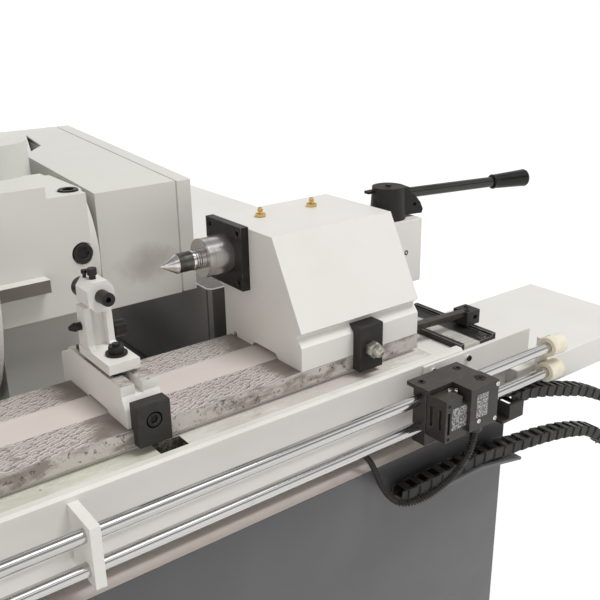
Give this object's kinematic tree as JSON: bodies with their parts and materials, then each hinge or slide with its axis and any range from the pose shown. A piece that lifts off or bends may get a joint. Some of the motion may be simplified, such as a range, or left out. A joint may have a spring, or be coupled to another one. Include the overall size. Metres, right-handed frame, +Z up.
{
  "type": "cylindrical grinding machine",
  "caption": "Universal cylindrical grinder with scraped swivel table, lever tailstock, wheel dresser, belt-driven wheelhead, workhead and a guarded carriage on chromed rods.",
  "frame": {"origin": "on the floor at the middle of the machine's overall outline", "axes": "+X along the table to the tailstock end, +Y from the operator to the back, +Z up"},
  "size_m": [2.258, 1.138, 1.31],
  "materials": {
    "white_paint": "smooth off-white enamel, slightly grey in the shade",
    "grey_paint": "light grey enamel",
    "dark_paint": "anthracite enamel, semi-gloss",
    "black_oxide": "blackened steel, oiled",
    "ground_steel": "ground and polished steel",
    "chrome_rod": "hard chromed and polished",
    "scraped_iron": "hand-scraped cast iron under a film of oil",
    "brass": "turned brass",
    "nylon": "natural cast nylon",
    "black_plastic": "moulded black plastic",
    "black_rubber": "ribbed black rubber",
    "abrasive": "vitrified aluminium-oxide abrasive, standing in for a ceramic",
    "green_plastic": "glossy green",
    "red_plastic": "glossy red",
    "aluminium": "cast and polished aluminium",
    "motor_paint": "grey enamel"
  },
  "bodies": {
    "base": {"base_plinth": "dark_paint", "levelling_feet": "black_oxide", "right_cabinet": "dark_paint", "right_cabinet_lid": "white_paint", "chain_tray": "black_oxide", "control_panel": "white_paint", "energy_chain": "black_plastic"},
    "start": {"start_button": "green_plastic"},
    "stop": {"stop_button": "red_plastic"},
    "table_wheel": {"table_handwheel": "aluminium"},
    "infeed_wheel": {"infeed_handwheel": "aluminium"},
    "table": {"lower_table": "grey_paint", "way_guards": "white_paint", "front_screen": "grey_paint", "rod_brackets": "white_paint", "guide_rods": "chrome_rod", "rod_bushes": "nylon", "scale_plate": "ground_steel", "scale_bars": "black_oxide", "chain_bracket": "black_oxide", "switch_conduit": "black_rubber"},
    "carriage": {"carriage_block": "black_oxide", "interlock_switch": "black_plastic"},
    "swivel": {"upper_table": "scraped_iron", "swivel_arm": "black_oxide", "adjuster_block": "black_oxide"},
    "tailstock": {"tailstock_body": "white_paint", "tailstock_rear_block": "grey_paint", "quill_flange": "black_oxide", "flange_screws": "black_oxide", "oilers": "brass", "tailstock_clamp": "black_oxide", "clamp_bolt": "ground_steel", "quill_spring": "ground_steel"},
    "quill_body": {"quill": "ground_steel", "dead_centre": "ground_steel"},
    "lever": {"lever_shaft": "ground_steel", "lever_hub": "black_plastic", "lever_bar": "black_oxide", "lever_grip": "black_plastic"},
    "dresser": {"dresser_base": "white_paint", "dresser_clamp": "black_oxide", "dresser_bolt": "black_oxide"},
    "dresser_slide": {"dresser_post": "white_paint", "diamond_holder": "black_oxide", "dresser_screws": "black_oxide"},
    "wheelhead": {"wheelhead_slide": "grey_paint", "spindle_housing": "white_paint", "housing_screws": "black_oxide", "belt_cover": "white_paint", "belt_cover_lid": "white_paint", "drive_belt": "black_rubber", "wheel_motor": "motor_paint", "wheel_guard": "white_paint"},
    "wheel": {"grinding_wheel": "abrasive", "wheel_spindle": "ground_steel"},
    "motor_rotor": {"motor_pulley": "ground_steel"},
    "workhead": {"workhead_base": "white_paint"},
    "workhead_turret": {"workhead_body": "white_paint"},
    "work_spindle": {"workhead_spindle": "ground_steel"}
  },
  "joints": [
    {"name": "table_traverse", "type": "slide", "parent": "base", "child": "table", "axis": [1, 0, 0], "range_m": [-0.25, 0.3], "deforming": ["energy_chain"]},
    {"name": "table_wheel_turn", "type": "hinge", "parent": "base", "child": "table_wheel", "pos_m": [-0.277, -0.495, 0.62], "axis": [0, -1, 0], "continuous": true},
    {"name": "infeed_wheel_turn", "type": "hinge", "parent": "base", "child": "infeed_wheel", "pos_m": [0.093, -0.495, 0.62], "axis": [0, -1, 0], "continuous": true},
    {"name": "start_press", "type": "slide", "parent": "base", "child": "start", "axis": [0, 1, 0], "range_m": [0, 0.003], "stiffness_N_per_m": 1500},
    {"name": "stop_press", "type": "slide", "parent": "base", "child": "stop", "axis": [0, 1, 0], "range_m": [0, 0.004], "stiffness_N_per_m": 1500},
    {"name": "carriage_run", "type": "slide", "parent": "table", "child": "carriage", "axis": [1, 0, 0], "range_m": [-0.44, 0.08], "deforming": ["switch_conduit"]},
    {"name": "table_swivel", "type": "hinge", "parent": "table", "child": "swivel", "pos_m": [0, -0.2995, 0.928], "axis": [0, 0, 1], "range_deg": [-3.5, 3.5]},
    {"name": "tailstock_shift", "type": "slide", "parent": "swivel", "child": "tailstock", "axis": [1, 0, 0], "range_m": [-0.08, 0]},
    {"name": "lever_swing", "type": "hinge", "parent": "tailstock", "child": "lever", "pos_m": [0.673, -0.27, 1.089], "axis": [0, 0, 1], "range_deg": [-71.6, 0]},
    {"name": "quill_travel", "type": "slide", "parent": "tailstock", "child": "quill_body", "axis": [1, 0, 0], "range_m": [0, 0.0251], "deforming": ["quill_spring"]},
    {"name": "dresser_shift", "type": "slide", "parent": "swivel", "child": "dresser", "axis": [1, 0, 0], "range_m": [-0.3, 0.08]},
    {"name": "dresser_reach", "type": "slide", "parent": "dresser", "child": "dresser_slide", "axis": [0, 1, 0], "range_m": [-0.02, 0.01]},
    {"name": "wheelhead_infeed", "type": "slide", "parent": "base", "child": "wheelhead", "axis": [0, -1, 0], "range_m": [-0.14, 0.05]},
    {"name": "wheel_spin", "type": "hinge", "parent": "wheelhead", "child": "wheel", "pos_m": [0.083, 0.033, 1.075], "axis": [1, 0, 0], "continuous": true},
    {"name": "motor_spin", "type": "hinge", "parent": "wheelhead", "child": "motor_rotor", "pos_m": [0.275, 0.213, 1.085], "axis": [1, 0, 0], "continuous": true},
    {"name": "workhead_shift", "type": "slide", "parent": "swivel", "child": "workhead", "axis": [1, 0, 0], "range_m": [0, 0.1]},
    {"name": "workhead_swivel", "type": "hinge", "parent": "workhead", "child": "workhead_turret", "pos_m": [-0.48, -0.283, 0.992], "axis": [0, 0, -1], "range_deg": [-30, 90]},
    {"name": "workhead_spin", "type": "hinge", "parent": "workhead_turret", "child": "work_spindle", "pos_m": [-0.34, -0.226, 1.075], "axis": [1, 0, 0], "continuous": true}
  ],
  "couplings": [
    {"joint": "quill_travel", "follows": "lever_swing", "m_per_rad": -0.02},
    {"joint": "motor_spin", "follows": "wheel_spin", "ratio": 1.2222}
  ]
}
